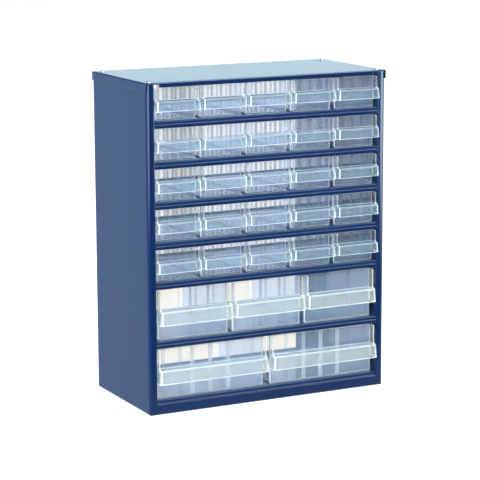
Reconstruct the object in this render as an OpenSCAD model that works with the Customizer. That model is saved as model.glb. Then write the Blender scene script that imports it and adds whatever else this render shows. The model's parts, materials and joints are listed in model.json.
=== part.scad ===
// Parts cabinet: a folded steel casing with a riveted lid, seven shelves and thirty clear drawers.
// Millimetres, +Z up, the front faces -Y. The origin is under the middle of the outer box.

/* [Cabinet] */
// Width over the side flanges of the lid
cabinet_w = 306; // [292:1:330]
// Depth from the faces of the stiles to the back of the lid
cabinet_d = 150; // [142:1:170]
// Thickness of the steel sheet
sheet = 0.8; // [0.7:0.05:1]

/* [Rows] */
// Level of the floor shelf above the ground
floor_level = 16.8; // [15:0.2:20]
// Clear height in front of a small drawer
short_opening = 37.4; // [36.4:0.2:42]
// Clear height in front of a medium or large drawer
tall_opening = 59.7; // [57:0.1:68]
// Height of the front edge of a shelf
shelf_edge_h = 8; // [7.4:0.2:10]
// Height of the front flange of the lid
lid_edge_h = 5.5; // [5:0.1:7]

/* [Casing] */
// Width of the stile beside the drawers, seen from the front
stile_w = 9.2; // [8.4:0.1:11]
// Depth of the fold behind the inner edge of the stile
stile_return = 8; // [5:0.5:12]
// Outer radius of the bend between side panel and stile
stile_bend = 3.5; // [2.5:0.1:5]
// Outer radius of the bends along the bottom
bottom_bend = 2.5; // [2:0.1:4]
// Height of the front flange of the bottom
front_flange_h = 12; // [11:0.2:13]
// Height of the rear flange of the bottom
rear_flange_h = 15; // [12:0.5:16]
// Width of the in-turned flange along each rear corner
rear_flange_w = 37; // [24:1:44]
// Width of the flange under each side of the lid
top_flange_w = 14; // [11:0.5:18]

/* [Lid] */
// Height of the side and rear flanges of the lid
lid_flange_h = 10; // [8:0.5:14]
// Outer radius of the bends of the lid
lid_bend = 1.6; // [1.2:0.1:2.4]
// Width of the relief at each end of the front flange
relief_w = 6.5; // [5:0.5:9]
// Diameter of a rivet head
rivet_d = 6; // [5:0.2:7]
// Height of a rivet head
rivet_h = 1.3; // [1:0.1:1.6]

/* [Shelves] */
// Height of the folded hem on the front edge
hem_h = 4; // [3:0.2:4.6]
// Height of the stop along the rear edge
rear_stop_h = 3; // [2:0.2:5]
// Height of the side flanges
shelf_flange_h = 8; // [6:0.5:12]

/* [Drawers] */
// Wall thickness of a drawer
wall = 1.2; // [1:0.05:1.5]
// Distance from the stile face back to the front wall of a drawer
recess = 8; // [6.5:0.5:10]
// Distance that the lower edge of the handle stands out from the stile face
handle_reach = 6.5; // [5:0.5:9]
// Gap between small drawers
small_gap = 5; // [3:0.5:7]
// Gap between medium drawers
medium_gap = 5.5; // [4:0.5:9]
// Gap between large drawers
large_gap = 8.5; // [5:0.5:12]
// Bottom corner radius of a small drawer
small_corner = 3; // [2:0.2:4]
// Bottom corner radius of a medium or large drawer
tall_corner = 2; // [1.6:0.2:4]
// Height of the stop tab above the rear wall
tab_h = 4.6; // [3.6:0.2:5]
// Width of the stop tab
tab_w = 20; // [12:1:26]

/* [Hidden] */
$fn = 48;
// Cuts pass the face that they open by this much, and joined solids share this much
past = 1;
overlap = 0.01;
// Cuts along a folded edge start this far inside it, behind the bend
edge_cut = 5;

small_rows = 5;
small_columns = 5;
medium_columns = 3;
large_columns = 2;
shelf_count = small_rows + 2;

short_pitch = short_opening + shelf_edge_h;
tall_pitch = tall_opening + shelf_edge_h;
cabinet_h = floor_level + 2 * tall_pitch + small_rows * short_pitch - shelf_edge_h + lid_edge_h;

depth_all = cabinet_d + handle_reach;
face_y = handle_reach - depth_all / 2;

casing_w = cabinet_w - 2 * sheet;
casing_d = cabinet_d - sheet;
casing_h = cabinet_h - sheet;
opening_w = casing_w - 2 * stile_w;

// Depths at which the shelves and the drawers end, in front of the rear flanges and the rear stops
rear_space = 8.7;
stop_play = 1;
shelf_rear = cabinet_d - rear_space;
drawer_rear = shelf_rear - sheet - stop_play;

// Space between the stile and the outermost drawer of a row
small_side_play = 1.75;
medium_side_play = 4.75;
large_side_play = 2.8;
small_w = drawer_width(small_columns, small_gap, small_side_play);
medium_w = drawer_width(medium_columns, medium_gap, medium_side_play);
large_w = drawer_width(large_columns, large_gap, large_side_play);

// Space between a drawer's rim and the shelf above it
short_headroom = 1.4;
tall_headroom = 2.5;
small_h = short_opening - short_headroom;
tall_h = tall_opening - tall_headroom;

// Heights of the handle's lower and upper edges above the drawer's underside
small_handle = [11, 22.5];
tall_handle = [19, 34.8];
handle_corner = 2.8;
// The handle's ends and front lean outwards by this much for each millimetre down from its upper edge
handle_draft = 0.07;
fin_corner = 2;
fin_fillet = 3;
tab_corner = 2;
upright_inner_r = 0.4;

// Slot ribs stand in pairs, one divider's thickness apart
rib_w = 1;
rib_depth = 1.1;
rib_spread = 2.7;
slot_pitch = 24;
first_slot = 33;
large_slot_pitch = 22.7;

// Outer bend of a shelf's front edge, rounding of the hem's free edge, and play round the stile returns
shelf_bend = 1.4;
hem_edge_r = 0.6;
notch_play = 0.5;
// Height of the front flange of the lid that stays above each relief
relief_top = 2;

rivet_inset_x = 8;
rivet_inset_y = [9, 12];

paint = [0.22, 0.31, 0.47];
bright = [0.75, 0.77, 0.8];
clear = [0.78, 0.88, 0.9];

function shelf_name(i) = i == 0 ? "floor_shelf" : str("shelf_", i);
function small_name(r, c) = str("small_drawer_r", r, "c", c);
function medium_name(c) = str("medium_drawer_c", c);
function large_name(c) = str("large_drawer_c", c);

// Level of the top face of shelf i, counted from the floor shelf
function shelf_level(i) = floor_level + min(i, 2) * tall_pitch + max(i - 2, 0) * short_pitch;

function drawer_width(columns, gap, play) = (opening_w - 2 * play - (columns - 1) * gap) / columns;
function column_x(c, columns, pitch) = (c - (columns + 1) / 2) * pitch;

// A rectangle from the given corner with the radii [left low, right low, right high, left high]
module rounded(corner, size, radii) {
    ends = [corner, [corner.x + size.x, corner.y], corner + size, [corner.x, corner.y + size.y]];
    turns = [[1, 1], [-1, 1], [-1, -1], [1, -1]];
    difference() {
        translate(corner) square(size);
        for (i = [0 : 3]) if (radii[i] > 0) {
            middle = ends[i] + radii[i] * turns[i];
            difference() {
                translate(ends[i] - past * turns[i])
                    mirror([turns[i].x < 0 ? 1 : 0, 0]) mirror([0, turns[i].y < 0 ? 1 : 0])
                        square(radii[i] + past);
                translate(middle) circle(r = radii[i]);
            }
        }
    }
}

// Extrusions of an outline drawn in the XZ plane along Y, and in the YZ plane along X
module along_y(from, to) {
    translate([0, to, 0]) rotate([90, 0, 0]) linear_extrude(to - from) children();
}
module along_x(from, to) {
    translate([from, 0, 0]) rotate([90, 0, 90]) linear_extrude(to - from) children();
}

// ---- Casing ----

// The folded box, shrunk by a margin for its inside
module casing_block(inset) {
    w = casing_w - 2 * inset;
    d = casing_d - 2 * inset;
    h = casing_h - 2 * inset;
    bottom_r = bottom_bend - inset;
    top_r = lid_bend - inset;
    stile_r = stile_bend - inset;
    intersection() {
        along_y(inset, inset + d) rounded([-w / 2, inset], [w, h], [bottom_r, bottom_r, top_r, top_r]);
        translate([0, 0, inset]) linear_extrude(h)
            rounded([-w / 2, inset], [w, d], [stile_r, stile_r, top_r, top_r]);
        along_x(-w / 2, w / 2) rounded([inset, inset], [d, h], [bottom_r, bottom_r, top_r, 0]);
    }
}

module casing() {
    color(paint) translate([0, face_y, 0]) {
        difference() {
            casing_block(0);
            casing_block(sheet);
            // Front opening, rear opening and the opening under the lid
            translate([-opening_w / 2, -past, front_flange_h]) cube([opening_w, stile_return, casing_h]);
            translate([-casing_w / 2 + rear_flange_w, casing_d - edge_cut, rear_flange_h])
                cube([casing_w - 2 * rear_flange_w, edge_cut + past, casing_h]);
            translate([-casing_w / 2 + top_flange_w, -past, casing_h - edge_cut])
                cube([casing_w - 2 * top_flange_w, casing_d + 2 * past, edge_cut + past]);
        }
        for (side = [-1, 1])
            translate([side * (opening_w / 2 + sheet / 2) - sheet / 2, 0, front_flange_h])
                cube([sheet, stile_return, casing_h - front_flange_h - sheet]);
    }
}

// ---- Lid ----

module lid_block(inset) {
    w = cabinet_w - 2 * inset;
    d = cabinet_d - 2 * inset;
    r = lid_bend - inset;
    low = cabinet_h - lid_flange_h - (inset > 0 ? past : 0);
    h = cabinet_h - inset - low;
    intersection() {
        along_y(inset, inset + d) rounded([-w / 2, low], [w, h], [0, 0, r, r]);
        along_x(-w / 2, w / 2) rounded([inset, low], [d, h], [0, 0, r, r]);
    }
}

module lid() {
    flange_low = cabinet_h - lid_edge_h;
    color(paint) translate([0, face_y, 0]) difference() {
        lid_block(0);
        lid_block(sheet);
        // The front flange is shorter than the others
        translate([-opening_w / 2 - past, -past, flange_low - lid_flange_h])
            cube([opening_w + 2 * past, edge_cut, lid_flange_h]);
        for (side = [-1, 1]) {
            // The stiles reach up to the plate beside the front flange
            translate([side * (casing_w - stile_w) / 2 - stile_w / 2, -past, casing_h - lid_flange_h])
                cube([stile_w, lid_bend + 2 * past, lid_flange_h]);
            // Relief at each end of the front flange
            translate([side * (opening_w - relief_w) / 2 - relief_w / 2, -past, flange_low - past])
                cube([relief_w, edge_cut, past + lid_edge_h - relief_top]);
        }
    }
}

module lid_rivets() {
    color(bright) for (side = [-1, 1], y = [rivet_inset_y[0], cabinet_d - rivet_inset_y[1]])
        translate([side * (cabinet_w / 2 - rivet_inset_x), face_y + y, cabinet_h]) rivet_head();
}

// A shallow spherical dome
module rivet_head() {
    dome_r = (pow(rivet_d / 2, 2) + rivet_h * rivet_h) / (2 * rivet_h);
    intersection() {
        translate([0, 0, rivet_h - dome_r]) sphere(r = dome_r);
        cylinder(d = rivet_d + past, h = rivet_h + past);
    }
}

// ---- Shelves ----

// Section of the front: the plate bends down into a lip, whose lower part is folded outwards and up
module front_section(depth) {
    rounded([0, -shelf_edge_h], [2 * sheet, hem_h], [sheet, sheet, 0, hem_edge_r]);
    difference() {
        rounded([sheet, sheet - shelf_edge_h], [depth - sheet, shelf_edge_h - sheet], [0, 0, 0, shelf_bend]);
        rounded([2 * sheet, -shelf_edge_h], [depth, shelf_edge_h - sheet], [0, 0, 0, shelf_bend - sheet]);
    }
}

module shelf(i) {
    level = shelf_level(i);
    setback = i == 0 ? sheet : 0;
    inner_w = casing_w - 2 * sheet;
    notch_d = stile_return + notch_play;
    color(paint) translate([0, face_y, level]) {
        along_x(-opening_w / 2, opening_w / 2) translate([setback, 0]) front_section(notch_d + past);
        translate([-inner_w / 2, notch_d, -sheet]) cube([inner_w, shelf_rear - notch_d, sheet]);
        translate([-inner_w / 2, shelf_rear - sheet, -sheet]) cube([inner_w, sheet, rear_stop_h + sheet]);
        for (side = [-1, 1])
            translate([side * (inner_w - sheet) / 2 - sheet / 2, notch_d, -shelf_flange_h])
                cube([sheet, shelf_rear - notch_d, shelf_flange_h]);
    }
}

// ---- Drawers ----

// Open box with rounded bottom edges and upright corners
module drawer_block(w, h, corner, inset) {
    top = h + (inset > 0 ? past : 0);
    r = corner - inset;
    front = recess + inset;
    rear = drawer_rear - inset;
    upright_r = upright_inner_r + wall - inset;
    intersection() {
        along_y(front, rear) rounded([-w / 2 + inset, inset], [w - 2 * inset, top - inset], [r, r, 0, 0]);
        linear_extrude(top)
            rounded([-w / 2 + inset, front], [w - 2 * inset, rear - front],
                    [upright_r, upright_r, upright_r, upright_r]);
    }
}

// The handle: a channel open downwards, widest at its lower edge, made of an outer and an inner block
module handle_block(w, handle, inset) {
    low = handle[0] - (inset > 0 ? past : 0);
    top = handle[1] - inset;
    half = w / 2 - inset;
    front = inset - handle_reach + handle_draft * (handle[1] - handle[0]);
    back = recess + wall / 2 + (inset > 0 ? past : 0);
    lean_low = handle_draft * (handle[1] - low);
    lean_top = handle_draft * (handle[1] - top);
    r = handle_corner - inset - handle_draft * (handle[1] - handle[0]);
    difference() {
        intersection() {
            along_y(front - lean_low, back) polygon([[-half - lean_low, low], [half + lean_low, low],
                                                     [half + lean_top, top], [-half - lean_top, top]]);
            along_x(-half - lean_low, half + lean_low) polygon([[front - lean_low, low], [back, low],
                                                                [back, top], [front - lean_top, top]]);
        }
        for (side = [0, 1]) mirror([side, 0, 0]) translate([half - r, front + r, 0]) difference() {
            translate([0, -w, low - past]) cube([w, w, top - low + 2 * past]);
            translate([0, 0, low - 2 * past])
                cylinder(r1 = r + lean_low + 2 * past * handle_draft,
                         r2 = r + lean_top - 2 * past * handle_draft, h = top - low + 4 * past);
        }
    }
}

// Side view of a fin: it runs down from the rim and curves into the handle
module fin_profile(h, handle_top) {
    rounded([0, handle_top - overlap], [recess + wall * 2, h - handle_top + overlap], [0, 0, 0, fin_corner]);
    difference() {
        translate([-fin_fillet, handle_top - overlap]) square([fin_fillet + overlap, fin_fillet + overlap]);
        translate([-fin_fillet, handle_top + fin_fillet]) circle(r = fin_fillet);
    }
}

// A pair of upright ribs that stand towards +X from the plane x = 0
module slot_ribs(h, corner) {
    for (side = [-1, 1])
        translate([-overlap, side * rib_spread / 2 - rib_w / 2, corner])
            cube([rib_depth + overlap, rib_w, h - corner]);
}

module drawer(w, h, corner, handle) {
    difference() {
        drawer_block(w, h, corner, 0);
        drawer_block(w, h, corner, wall);
    }
    difference() {
        handle_block(w, handle, 0);
        handle_block(w, handle, wall);
    }
    for (side = [-1, 1])
        along_x(side * (w - wall) / 2 - wall / 2, side * (w - wall) / 2 + wall / 2)
            fin_profile(h, handle[1]);
    along_y(drawer_rear - wall, drawer_rear)
        rounded([-tab_w / 2, h - past], [tab_w, tab_h + past], [0, 0, tab_corner, tab_corner]);
}

module side_slots(w, h, corner, places) {
    for (y = places, side = [0, 1])
        mirror([side, 0, 0]) translate([-w / 2 + wall, y, 0]) slot_ribs(h, corner);
}

module small_drawer(r, c) {
    x = column_x(c, small_columns, small_w + small_gap);
    color(clear) translate([x, face_y, shelf_level(shelf_count - r)]) {
        drawer(small_w, small_h, small_corner, small_handle);
        side_slots(small_w, small_h, small_corner, [for (i = [0 : 3]) first_slot + i * slot_pitch]);
    }
}

module medium_drawer(c) {
    x = column_x(c, medium_columns, medium_w + medium_gap);
    color(clear) translate([x, face_y, shelf_level(1)]) {
        drawer(medium_w, tall_h, tall_corner, tall_handle);
        side_slots(medium_w, tall_h, tall_corner, [for (i = [1, 3]) first_slot + i * slot_pitch]);
    }
}

module large_drawer(c) {
    x = column_x(c, large_columns, large_w + large_gap);
    color(clear) translate([x, face_y, shelf_level(0)]) {
        drawer(large_w, tall_h, tall_corner, tall_handle);
        for (i = [-1 : 1]) {
            translate([i * large_slot_pitch, recess + wall, 0]) rotate(90) slot_ribs(tall_h, tall_corner);
            translate([i * large_slot_pitch, drawer_rear - wall, 0]) rotate(-90)
                slot_ribs(tall_h, tall_corner);
        }
    }
}

casing();
lid();
lid_rivets();
for (i = [0 : shelf_count - 1])
    shelf(i);
for (r = [1 : small_rows], c = [1 : small_columns])
    small_drawer(r, c);
for (c = [1 : medium_columns])
    medium_drawer(c);
for (c = [1 : large_columns])
    large_drawer(c);
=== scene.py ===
"""Looks for the parts cabinet: blue painted steel, clear moulded drawers, a white studio."""
import json
from math import cos, radians, sin

import bpy
from mathutils import Matrix, Vector


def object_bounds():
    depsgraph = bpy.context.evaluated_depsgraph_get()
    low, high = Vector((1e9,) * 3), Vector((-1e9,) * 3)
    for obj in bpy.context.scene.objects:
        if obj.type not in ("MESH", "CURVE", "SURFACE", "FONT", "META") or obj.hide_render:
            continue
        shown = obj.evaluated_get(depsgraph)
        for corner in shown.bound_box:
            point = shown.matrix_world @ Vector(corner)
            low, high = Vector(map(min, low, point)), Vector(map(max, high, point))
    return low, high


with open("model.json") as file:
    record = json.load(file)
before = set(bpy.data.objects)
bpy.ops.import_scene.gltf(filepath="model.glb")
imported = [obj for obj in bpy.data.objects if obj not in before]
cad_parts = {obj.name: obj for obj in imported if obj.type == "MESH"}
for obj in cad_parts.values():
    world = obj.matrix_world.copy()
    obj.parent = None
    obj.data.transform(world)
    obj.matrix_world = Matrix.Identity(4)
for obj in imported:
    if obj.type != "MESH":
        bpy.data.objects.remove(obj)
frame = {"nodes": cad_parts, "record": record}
CAD_LOW, CAD_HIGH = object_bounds()
MM = 0.001

# ---- Camera: place, turn, tilt and roll found from the cabinet's corners in the photograph's frame ----

IMAGE_PX = 480
SENSOR_MM = 36.0
FOCAL_PX = 2002.7
FAR_CLIP = 30
CAMERA_PLACE = Vector((-1.0494, -2.0632, 0.6161))
CAMERA_YAW, CAMERA_DOWN, CAMERA_ROLL = radians(26.93), radians(10.74), radians(0.22)


def make_camera():
    ahead = cos(CAMERA_DOWN)
    forward = Vector((sin(CAMERA_YAW) * ahead, cos(CAMERA_YAW) * ahead, -sin(CAMERA_DOWN)))
    level = Vector((cos(CAMERA_YAW), -sin(CAMERA_YAW), 0))
    down = forward.cross(level)
    right = cos(CAMERA_ROLL) * level + sin(CAMERA_ROLL) * down
    up = right.cross(forward)
    data = bpy.data.cameras.new("camera")
    data.sensor_width = SENSOR_MM
    data.lens = FOCAL_PX / IMAGE_PX * SENSOR_MM
    data.clip_end = FAR_CLIP
    camera = bpy.data.objects.new("camera", data)
    turn = Matrix((right, up, -forward)).transposed().to_4x4()
    camera.matrix_world = Matrix.Translation(CAMERA_PLACE) @ turn
    bpy.context.scene.collection.objects.link(camera)
    bpy.context.scene.camera = camera


# ---- Node helpers ----

def add(tree, kind, **settings):
    """A new node. A setting is one of the node's own properties or an input, with _ for each space."""
    node = tree.nodes.new(kind)
    for key, value in settings.items():
        if hasattr(node, key):
            setattr(node, key, value)
        else:
            node.inputs[key.replace("_", " ")].default_value = value
    return node


def feed(tree, value, socket):
    """Links another node's output to the socket, or sets the socket to a number or a colour."""
    if hasattr(value, "is_output"):
        tree.links.new(value, socket)
    else:
        socket.default_value = value


def calculated(tree, operation, *values):
    node = add(tree, "ShaderNodeMath", operation=operation)
    for value, socket in zip(values, node.inputs):
        feed(tree, value, socket)
    return node.outputs[0]


def product(tree, first, *others):
    for other in others:
        first = calculated(tree, "MULTIPLY", first, other)
    return first


def highest(tree, first, *others):
    for other in others:
        first = calculated(tree, "MAXIMUM", first, other)
    return first


def between(tree, value, low, high, at_low=0, at_high=1, **settings):
    """Runs from one number to the other while the value runs from low to high, and stays level outside."""
    ramp = add(tree, "ShaderNodeMapRange", From_Min=low, From_Max=high, To_Min=at_low, To_Max=at_high,
               **settings)
    tree.links.new(value, ramp.inputs["Value"])
    return ramp.outputs["Result"]


def blended(tree, share, first, second):
    """A colour or number that goes from the first to the second as the share goes from 0 to 1."""
    mix = add(tree, "ShaderNodeMixRGB")
    tree.links.new(share, mix.inputs["Fac"])
    for value, socket in ((first, mix.inputs["Color1"]), (second, mix.inputs["Color2"])):
        feed(tree, (value, value, value, 1) if isinstance(value, float) else value, socket)
    return mix.outputs[0]


def split(tree, vector):
    """A vector's parts, as outputs named X, Y and Z."""
    node = add(tree, "ShaderNodeSeparateXYZ")
    tree.links.new(vector, node.inputs[0])
    return node.outputs


def without_signs(tree, vector):
    node = add(tree, "ShaderNodeVectorMath", operation="ABSOLUTE")
    tree.links.new(vector, node.inputs[0])
    return node.outputs[0]


def own_place(tree):
    """Where a point is in the frame's own metres, so that a pattern is the same size on every node."""
    return add(tree, "ShaderNodeTexCoord").outputs["Object"]


def true_normal(tree):
    return add(tree, "ShaderNodeNewGeometry").outputs["True Normal"]


def speckle(tree, specks_per_metre):
    """Noise from 0 to 1, mostly near the middle."""
    noise = add(tree, "ShaderNodeTexNoise", Scale=specks_per_metre, Detail=2.0)
    tree.links.new(own_place(tree), noise.inputs["Vector"])
    return noise.outputs["Fac"]


def bumped(tree, normal, height, distance):
    """The normal of a surface that a height of 1 would raise by the distance."""
    bump = add(tree, "ShaderNodeBump", Strength=1.0, Distance=distance)
    tree.links.new(normal, bump.inputs["Normal"])
    tree.links.new(height, bump.inputs["Height"])
    return bump.outputs["Normal"]


def mixed(tree, share, first, second):
    """A shader that goes from the first to the second as the share goes from 0 to 1."""
    mix = add(tree, "ShaderNodeMixShader")
    feed(tree, share, mix.inputs["Fac"])
    tree.links.new(first.outputs[0], mix.inputs[1])
    tree.links.new(second.outputs[0], mix.inputs[2])
    return mix


def new_material(name):
    material = bpy.data.materials.new(name)
    material.use_nodes = True
    material.node_tree.nodes.clear()
    return material, material.node_tree


def set_surface(tree, shader):
    out = add(tree, "ShaderNodeOutputMaterial")
    tree.links.new(shader.outputs[0], out.inputs["Surface"])


# ---- Steel and rivets ----

# The part of the noise that is stretched over the whole range of roughness
SPECKLE_LOW, SPECKLE_HIGH = 0.3, 0.7

PAINT_TONES = (0.0032, 0.0180, 0.080, 1), (0.0040, 0.0202, 0.088, 1)
PAINT_ROUGHNESS = 0.11, 0.14
PAINT_TONE_SPECKS, PAINT_GLOSS_SPECKS = 22, 60
PAINT_SHEEN, PAINT_SHEEN_ROUGHNESS, PAINT_SHEEN_TINT = 0.18, 0.3, (0.3, 0.85, 1.0, 1)
PAINT_SPECULAR = 0.3
PEEL_SPECKS, PEEL_HEIGHT = 380, 0.006 * MM
# How far round a folded edge its highlight spreads
BEND_SHINE, BEND_SAMPLES = 1.8 * MM, 6
# The stiles are crowned towards their outer edges and the lid's left flange towards the top:
# how wide, how far the paint falls away, and how much of that fall the lid has
CROWN_WIDTH, CROWN_FALL = 9 * MM, 2.4 * MM
LID_CROWN_WIDTH, LID_CROWN_SHARE = 3 * MM, 0.55
# A face looks forward or to the left where that part of its normal is past these
FACING_FROM, FACING_TO = -0.3, -0.5

RIVET_TONES = (0.26, 0.29, 0.34, 1), (0.36, 0.38, 0.42, 1)
RIVET_ROUGHNESS = 0.2, 0.4
RIVET_TONE_SPECKS, RIVET_GLOSS_SPECKS = 900, 1500


def make_uneven(tree, shader, tones, tone_specks, roughness, gloss_specks):
    """Lets a shader's colour and roughness wander a little."""
    tree.links.new(blended(tree, speckle(tree, tone_specks), *tones), shader.inputs["Base Color"])
    gloss = between(tree, speckle(tree, gloss_specks), SPECKLE_LOW, SPECKLE_HIGH, *roughness)
    tree.links.new(gloss, shader.inputs["Roughness"])


def crown(tree):
    """Height of the painted face: 0 on open faces, falling to -1 at a crowned edge."""
    place = split(tree, without_signs(tree, own_place(tree)))
    normal = split(tree, true_normal(tree))
    across = between(tree, place["X"], CAD_HIGH[0] - CROWN_WIDTH, CAD_HIGH[0])
    stile = product(tree, across, across, between(tree, normal["Y"], FACING_FROM, FACING_TO))
    up = between(tree, place["Z"], CAD_HIGH[2] - LID_CROWN_WIDTH, CAD_HIGH[2])
    lid = product(tree, up, up, between(tree, normal["X"], FACING_FROM, FACING_TO), LID_CROWN_SHARE)
    return product(tree, highest(tree, stile, lid), -1)


def steel_paint():
    """Smooth stoved enamel with a faint orange peel."""
    material, tree = new_material("steel_paint")
    shader = add(tree, "ShaderNodeBsdfPrincipled", Specular_IOR_Level=PAINT_SPECULAR,
                 Sheen_Weight=PAINT_SHEEN, Sheen_Roughness=PAINT_SHEEN_ROUGHNESS, Sheen_Tint=PAINT_SHEEN_TINT)
    make_uneven(tree, shader, PAINT_TONES, PAINT_TONE_SPECKS, PAINT_ROUGHNESS, PAINT_GLOSS_SPECKS)
    bend = add(tree, "ShaderNodeBevel", samples=BEND_SAMPLES, Radius=BEND_SHINE).outputs[0]
    crowned = bumped(tree, bend, crown(tree), CROWN_FALL)
    tree.links.new(bumped(tree, crowned, speckle(tree, PEEL_SPECKS), PEEL_HEIGHT), shader.inputs["Normal"])
    set_surface(tree, shader)
    return material


def rivet_metal():
    """Plain drawn metal, a little uneven."""
    material, tree = new_material("rivet_metal")
    shader = add(tree, "ShaderNodeBsdfPrincipled", Metallic=1.0)
    make_uneven(tree, shader, RIVET_TONES, RIVET_TONE_SPECKS, RIVET_ROUGHNESS, RIVET_GLOSS_SPECKS)
    set_surface(tree, shader)
    return material


# ---- Clear drawers ----

PLASTIC_ROUGHNESS, PLASTIC_IOR = 0.03, 1.45
# A face tints the light that crosses it: an upright one, which light crosses nearly square, tints it less
UPRIGHT_TINT, LEVEL_TINT = (0.93, 0.965, 1.0, 1), (0.8, 0.9, 1.0, 1)
# How much light each face lets through to what the drawers shade
SHADOW_TINT = (0.98, 0.985, 0.99, 1)

# A drawer's zones from front to back: handle, front wall, and all that lies behind it
HANDLE_DEPTH, FRONT_WALL_DEPTH = 14.3 * MM, 16.5 * MM
# How much of the light each zone scatters, and its colour
HANDLE_HAZE, WALL_HAZE, INNER_HAZE = 0.145, 0.22, 0.06
HANDLE_TONE, WALL_TONE, INNER_TONE = (0.74, 0.82, 0.72, 1), (0.36, 0.6, 1.0, 1), (0.28, 0.6, 1.0, 1)
# The same for the edges, those of the handle and front wall and those of the inner zone: a painted highlight,
# a pale milky scatter that makes the edges show as bright lines
PAINTED_OUTER_HIGHLIGHT, PAINTED_INNER_HIGHLIGHT = 0.95, 0.3
OUTER_HIGHLIGHT_TONE, INNER_HIGHLIGHT_TONE = (0.95, 1.0, 1.0, 1), (0.6, 0.76, 1.0, 1)
# How much of the scattered light goes on through the face
HAZE_THROUGH = 0.25

# The small drawers lie above the deep ones, are thinner moulded and scatter less
SMALL_ABOVE = CAD_LOW[2] + 140 * MM
SMALL_SHARE, SMALL_HIGHLIGHT_SHARE = 0.45, 0.75
SMALL_HANDLE_TONE = (0.5, 0.8, 0.9, 1)
EDGE_WIDTH, SMALL_EDGE_WIDTH = 1.5 * MM, 1.0 * MM
EDGE_SAMPLES = 4
# Painted highlight: the bottoms of the deep drawers get a paler, milkier scatter that grows towards the rear,
# from one place to another along Y
REAR_HIGHLIGHT_HAZE, REAR_HIGHLIGHT_TONE = 0.3, (0.7, 0.86, 1.0, 1)
REAR_BOTTOM_FROM, REAR_BOTTOM_TO = -10 * MM, 35 * MM

# The cosine of a bevelled normal's turn where an edge begins and where it is whole
EDGE_BEGINS, EDGE_WHOLE = 0.998, 0.96
# The largest part of a normal where a rounded corner begins and where it is whole
CORNER_BEGINS, CORNER_WHOLE = 0.93, 0.8
# The upright part of a normal where a bottom begins and where it is whole
BOTTOM_BEGINS, BOTTOM_WHOLE = 0.9, 0.95


def near_edge(tree, width):
    """1 on thin faces and round the edges, 0 on open faces: how far the bevelled normal turns away."""
    bevel = add(tree, "ShaderNodeBevel", samples=EDGE_SAMPLES)
    tree.links.new(width, bevel.inputs["Radius"])
    dot = add(tree, "ShaderNodeVectorMath", operation="DOT_PRODUCT")
    tree.links.new(bevel.outputs[0], dot.inputs[0])
    tree.links.new(true_normal(tree), dot.inputs[1])
    return between(tree, dot.outputs["Value"], EDGE_BEGINS, EDGE_WHOLE)


def on_corner(tree):
    """1 where a corner is rounded, 0 on the flat walls, which face along an axis or nearly so."""
    parts = split(tree, without_signs(tree, true_normal(tree)))
    return between(tree, highest(tree, *parts), CORNER_BEGINS, CORNER_WHOLE)


def behind(tree, place, depth):
    """1 for what lies further back than this depth behind the frontmost handles, 0 in front of it."""
    start = CAD_LOW[1] + depth
    return between(tree, place["Y"], start, start + MM / 2)


def by_row(tree, place, deep, small):
    """One number for the deep drawers and another for the small ones above them."""
    return between(tree, place["Z"], SMALL_ABOVE - MM, SMALL_ABOVE + MM, deep, small)


def by_zone(tree, zones, handle, wall, inner):
    """One colour or number for each zone."""
    behind_handle, behind_wall = zones
    return blended(tree, behind_handle, handle, blended(tree, behind_wall, wall, inner))


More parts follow.
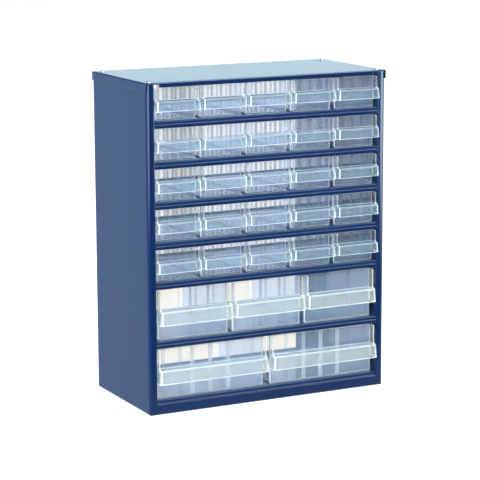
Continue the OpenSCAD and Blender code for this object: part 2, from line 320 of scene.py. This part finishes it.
def clear_plastic():
    """Thin moulded polystyrene: it refracts and scatters a little blue; its edges and the rear of the deep
    drawers' bottoms carry a painted highlight, a pale milky scatter.
    """
    material, tree = new_material("clear_plastic")
    place = split(tree, own_place(tree))
    zones = [behind(tree, place, depth) for depth in (HANDLE_DEPTH, FRONT_WALL_DEPTH)]
    behind_wall = zones[1]
    level_face = calculated(tree, "ABSOLUTE", split(tree, true_normal(tree))["Z"])
    deep = by_row(tree, place, 1, 0)
    # Painted highlight: where the deep drawers' bottoms get the paler scatter towards the rear
    rear_highlight = product(tree, between(tree, level_face, BOTTOM_BEGINS, BOTTOM_WHOLE), deep,
                          between(tree, place["Y"], REAR_BOTTOM_FROM, REAR_BOTTOM_TO))
    # Where the painted highlight lies: round the edges and on the rounded corners
    edge = highest(tree, near_edge(tree, by_row(tree, place, EDGE_WIDTH, SMALL_EDGE_WIDTH)), on_corner(tree))

    glass = add(tree, "ShaderNodeBsdfPrincipled", Roughness=PLASTIC_ROUGHNESS, Transmission_Weight=1.0,
                IOR=PLASTIC_IOR)
    tree.links.new(blended(tree, level_face, UPRIGHT_TINT, LEVEL_TINT), glass.inputs["Base Color"])

    # Tone by zone, with the painted highlight's paler tone on the deep drawers' bottoms towards the rear
    tone = by_zone(tree, zones, blended(tree, deep, SMALL_HANDLE_TONE, HANDLE_TONE), WALL_TONE,
                   blended(tree, rear_highlight, INNER_TONE, REAR_HIGHLIGHT_TONE))
    # Painted highlight: the edges take a near-white tone
    tone = blended(tree, edge, tone, blended(tree, behind_wall, OUTER_HIGHLIGHT_TONE, INNER_HIGHLIGHT_TONE))
    haze_back, haze_on = add(tree, "ShaderNodeBsdfDiffuse"), add(tree, "ShaderNodeBsdfTranslucent")
    for scatter in (haze_back, haze_on):
        tree.links.new(tone, scatter.inputs["Color"])

    # Scatter by zone, with more of it as a painted highlight on the deep drawers' bottoms towards the rear
    haze = by_zone(tree, zones, HANDLE_HAZE, WALL_HAZE,
                   blended(tree, rear_highlight, INNER_HAZE, REAR_HIGHLIGHT_HAZE))
    haze = product(tree, haze, by_row(tree, place, 1, SMALL_SHARE))
    # Painted highlight: the edges scatter far more of the light than the faces
    highlight_haze = product(tree, blended(tree, behind_wall, PAINTED_OUTER_HIGHLIGHT, PAINTED_INNER_HIGHLIGHT),
                        by_row(tree, place, 1, SMALL_HIGHLIGHT_SHARE))
    both = mixed(tree, HAZE_THROUGH, haze_back, haze_on)
    milky = mixed(tree, blended(tree, edge, haze, highlight_haze), glass, both)

    clear = add(tree, "ShaderNodeBsdfTransparent", Color=SHADOW_TINT)
    in_shadow = add(tree, "ShaderNodeLightPath").outputs["Is Shadow Ray"]
    set_surface(tree, mixed(tree, in_shadow, milky, clear))
    return material


def paint_everything():
    slots = {"painted_steel": steel_paint(), "clear_plastic": clear_plastic(), "rivet_metal": rivet_metal()}
    wanted = {part["node"]: part["material_slot"] for part in frame["record"]["subparts"]}
    for name, node in frame["nodes"].items():
        for slot in node.material_slots:
            slot.material = slots[wanted[name]]


# ---- Studio ----

# The studio's colour mirrored by the steel and by the drawers' walls, and straight through the drawers.
# Every face of the plastic takes some red away, and THROUGH_TINT gives it back
MIRRORED_TINT, INNER_MIRRORED_TINT = (0.96, 1.14, 1.2, 1), (1.08, 1.02, 1.1, 1)
THROUGH_TINT = (1.28, 1.03, 0.75, 1)

AMBIENT = 0.84
FLOOR_TONE, FLOOR_LIFT, FLOOR_REACH = 0.8, 0.35, 6.0

# Each fade says where it begins and ends, and how bright the studio is at either end. On the floor it goes by
# metres from the cabinet's middle, and in the world by a ray's direction

# What steel mirrors: a lit backdrop behind the object, darker towards the camera's side and overhead
BACKDROP_BY_Y, BACKDROP_BY_Z = (-0.9, 0.1, 0.08, 1), (0.14, 0.25, 1, 0.04)
# The floor is dark in front of the cabinet and mirrors less than the backdrop behind it
FLOOR_BY_Y = (-0.3, -0.05, 0.05, 0.65)
# Through the drawers the studio is dim in front of the cabinet and white behind it
SEEN_BY_Y = (-0.2, 0.1, 0.4, 1.3)
# Soft boxes that only reflections show: overhead, left and in front, and right
TOP_BOX_BY_Z, TOP_BOX_BY_Y = (0.4, 0.6, 0, 7.0), (0.1, 0.4, 1, 0)
LEFT_BOX_BY_X, LEFT_BOX_BY_Y = (-1.5, -1.1, 8.0, 0), (-0.5, -0.3, 1, 0)
# The right one lies between two lines that run forward by the slant for each metre to the right
RIGHT_BOX_BY_X = (0.6, 2.2, 0, 11.0)
FRONT_SLANT, BEHIND_FRONT_SLANT = 0.95, (-0.1, 0.15, 0, 1)
REAR_SLANT, BEHIND_REAR_SLANT = 0.2, (-0.1, 0.4, 1, 0)


def fading(tree, value, fade):
    """The same as between, with a soft start and end."""
    return between(tree, value, *fade, interpolation_type="SMOOTHSTEP")


def through_plastic(tree, path):
    """1 for a ray that has passed through a drawer and met no matt surface."""
    passed = calculated(tree, "GREATER_THAN", path.outputs["Transmission Depth"], 0.5)
    return product(tree, passed, between(tree, path.outputs["Diffuse Depth"], 0, 1, 1, 0))


def studio_colour(tree, path, passed):
    """The studio is white straight on, a little blue in reflections and a little warm through the plastic."""
    mirrored = calculated(tree, "GREATER_THAN", path.outputs["Glossy Depth"], 0.5)
    return blended(tree, mirrored, blended(tree, passed, (1, 1, 1, 1), THROUGH_TINT),
                   blended(tree, passed, MIRRORED_TINT, INNER_MIRRORED_TINT))


def plain_floor(tree, path):
    """What the camera sees straight on: matt and pale, with the object's shadow, lifted towards white."""
    matt = add(tree, "ShaderNodeBsdfDiffuse", Color=(FLOOR_TONE, FLOOR_TONE, FLOOR_TONE, 1))
    lifted = add(tree, "ShaderNodeEmission")
    tree.links.new(product(tree, path.outputs["Is Camera Ray"], FLOOR_LIFT), lifted.inputs["Strength"])
    both = add(tree, "ShaderNodeAddShader")
    tree.links.new(matt.outputs[0], both.inputs[0])
    tree.links.new(lifted.outputs[0], both.inputs[1])
    return both


def studio_floor(tree, path, passed):
    """What the steel mirrors and the drawers let through, with the soft boxes at the left and the right."""
    place = split(tree, add(tree, "ShaderNodeNewGeometry").outputs["Position"])
    left = product(tree, fading(tree, place["X"], LEFT_BOX_BY_X), fading(tree, place["Y"], LEFT_BOX_BY_Y))
    right = fading(tree, place["X"], RIGHT_BOX_BY_X)
    for slant, fade in ((FRONT_SLANT, BEHIND_FRONT_SLANT), (REAR_SLANT, BEHIND_REAR_SLANT)):
        behind_line = calculated(tree, "MULTIPLY_ADD", place["X"], slant, place["Y"])
        right = product(tree, right, fading(tree, behind_line, fade))
    mirrored = highest(tree, fading(tree, place["Y"], FLOOR_BY_Y), left, right)
    mirrored = product(tree, mirrored, between(tree, passed, 0, 1, 1, 0))
    seen = product(tree, passed, fading(tree, place["Y"], SEEN_BY_Y))
    light = add(tree, "ShaderNodeEmission")
    tree.links.new(studio_colour(tree, path, passed), light.inputs["Color"])
    tree.links.new(highest(tree, mirrored, seen), light.inputs["Strength"])
    return light


def make_floor():
    material, tree = new_material("floor_white")
    path = add(tree, "ShaderNodeLightPath")
    passed = through_plastic(tree, path)
    share = highest(tree, path.outputs["Is Glossy Ray"], passed)
    set_surface(tree, mixed(tree, share, plain_floor(tree, path), studio_floor(tree, path, passed)))
    mesh = bpy.data.meshes.new("floor")
    corners = [(x * FLOOR_REACH, y * FLOOR_REACH, 0) for x, y in ((-1, -1), (1, -1), (1, 1), (-1, 1))]
    mesh.from_pydata(corners, [], [(0, 1, 2, 3)])
    mesh.materials.append(material)
    floor = bpy.data.objects.new("floor", mesh)
    bpy.context.scene.collection.objects.link(floor)


def make_world():
    """An even pale sky, with the backdrop and the top box in reflections and white behind the drawers."""
    world = bpy.data.worlds.new("studio")
    world.use_nodes = True
    bpy.context.scene.world = world
    tree = world.node_tree
    background = tree.nodes["Background"]
    path = add(tree, "ShaderNodeLightPath")
    passed = through_plastic(tree, path)
    tree.links.new(studio_colour(tree, path, passed), background.inputs["Color"])
    direction = split(tree, add(tree, "ShaderNodeTexCoord").outputs["Generated"])
    deep, up = direction["Y"], direction["Z"]
    backdrop = product(tree, fading(tree, deep, BACKDROP_BY_Y), fading(tree, up, BACKDROP_BY_Z))
    top = product(tree, fading(tree, up, TOP_BOX_BY_Z), fading(tree, deep, TOP_BOX_BY_Y))
    level = blended(tree, path.outputs["Is Glossy Ray"], AMBIENT, highest(tree, backdrop, top))
    level = highest(tree, path.outputs["Is Camera Ray"], level)
    seen = product(tree, passed, fading(tree, deep, SEEN_BY_Y))
    tree.links.new(blended(tree, passed, level, seen), background.inputs["Strength"])


# The lamps are squares that face the cabinet's middle. For each: its place, its side and its watts
LAMP_TARGET = Vector((0, 0, 0.19))
KEY_LAMP = Vector((-2.6, 0.2, 1.6)), 1.4, 82
OVERHEAD_LAMP = Vector((0.95, -0.4, 2.2)), 1.2, 26
FILL_LAMP = Vector((-0.8, -2.6, 1.3)), 1.4, 37


def area_lamp(name, place, side, watts):
    data = bpy.data.lights.new(name, "AREA")
    data.shape = "SQUARE"
    data.size = side
    data.energy = watts
    lamp = bpy.data.objects.new(name, data)
    lamp.location = place
    lamp.rotation_euler = (LAMP_TARGET - place).to_track_quat("-Z", "Y").to_euler()
    bpy.context.scene.collection.objects.link(lamp)
    return lamp


def make_lamps():
    area_lamp("key", *KEY_LAMP)
    area_lamp("overhead", *OVERHEAD_LAMP)
    fill = area_lamp("fill", *FILL_LAMP)
    fill.visible_glossy = False


# Enough for light, and for the rays that look for lamps, to cross a row of drawers
BOUNCES, SHADOW_BOUNCES = 24, 48


def set_view():
    scene = bpy.context.scene
    scene.view_settings.view_transform = "Standard"
    scene.cycles.max_bounces = BOUNCES
    scene.cycles.transmission_bounces = BOUNCES
    scene.cycles.transparent_max_bounces = SHADOW_BOUNCES


make_camera()
paint_everything()
make_floor()
make_world()
make_lamps()
set_view()
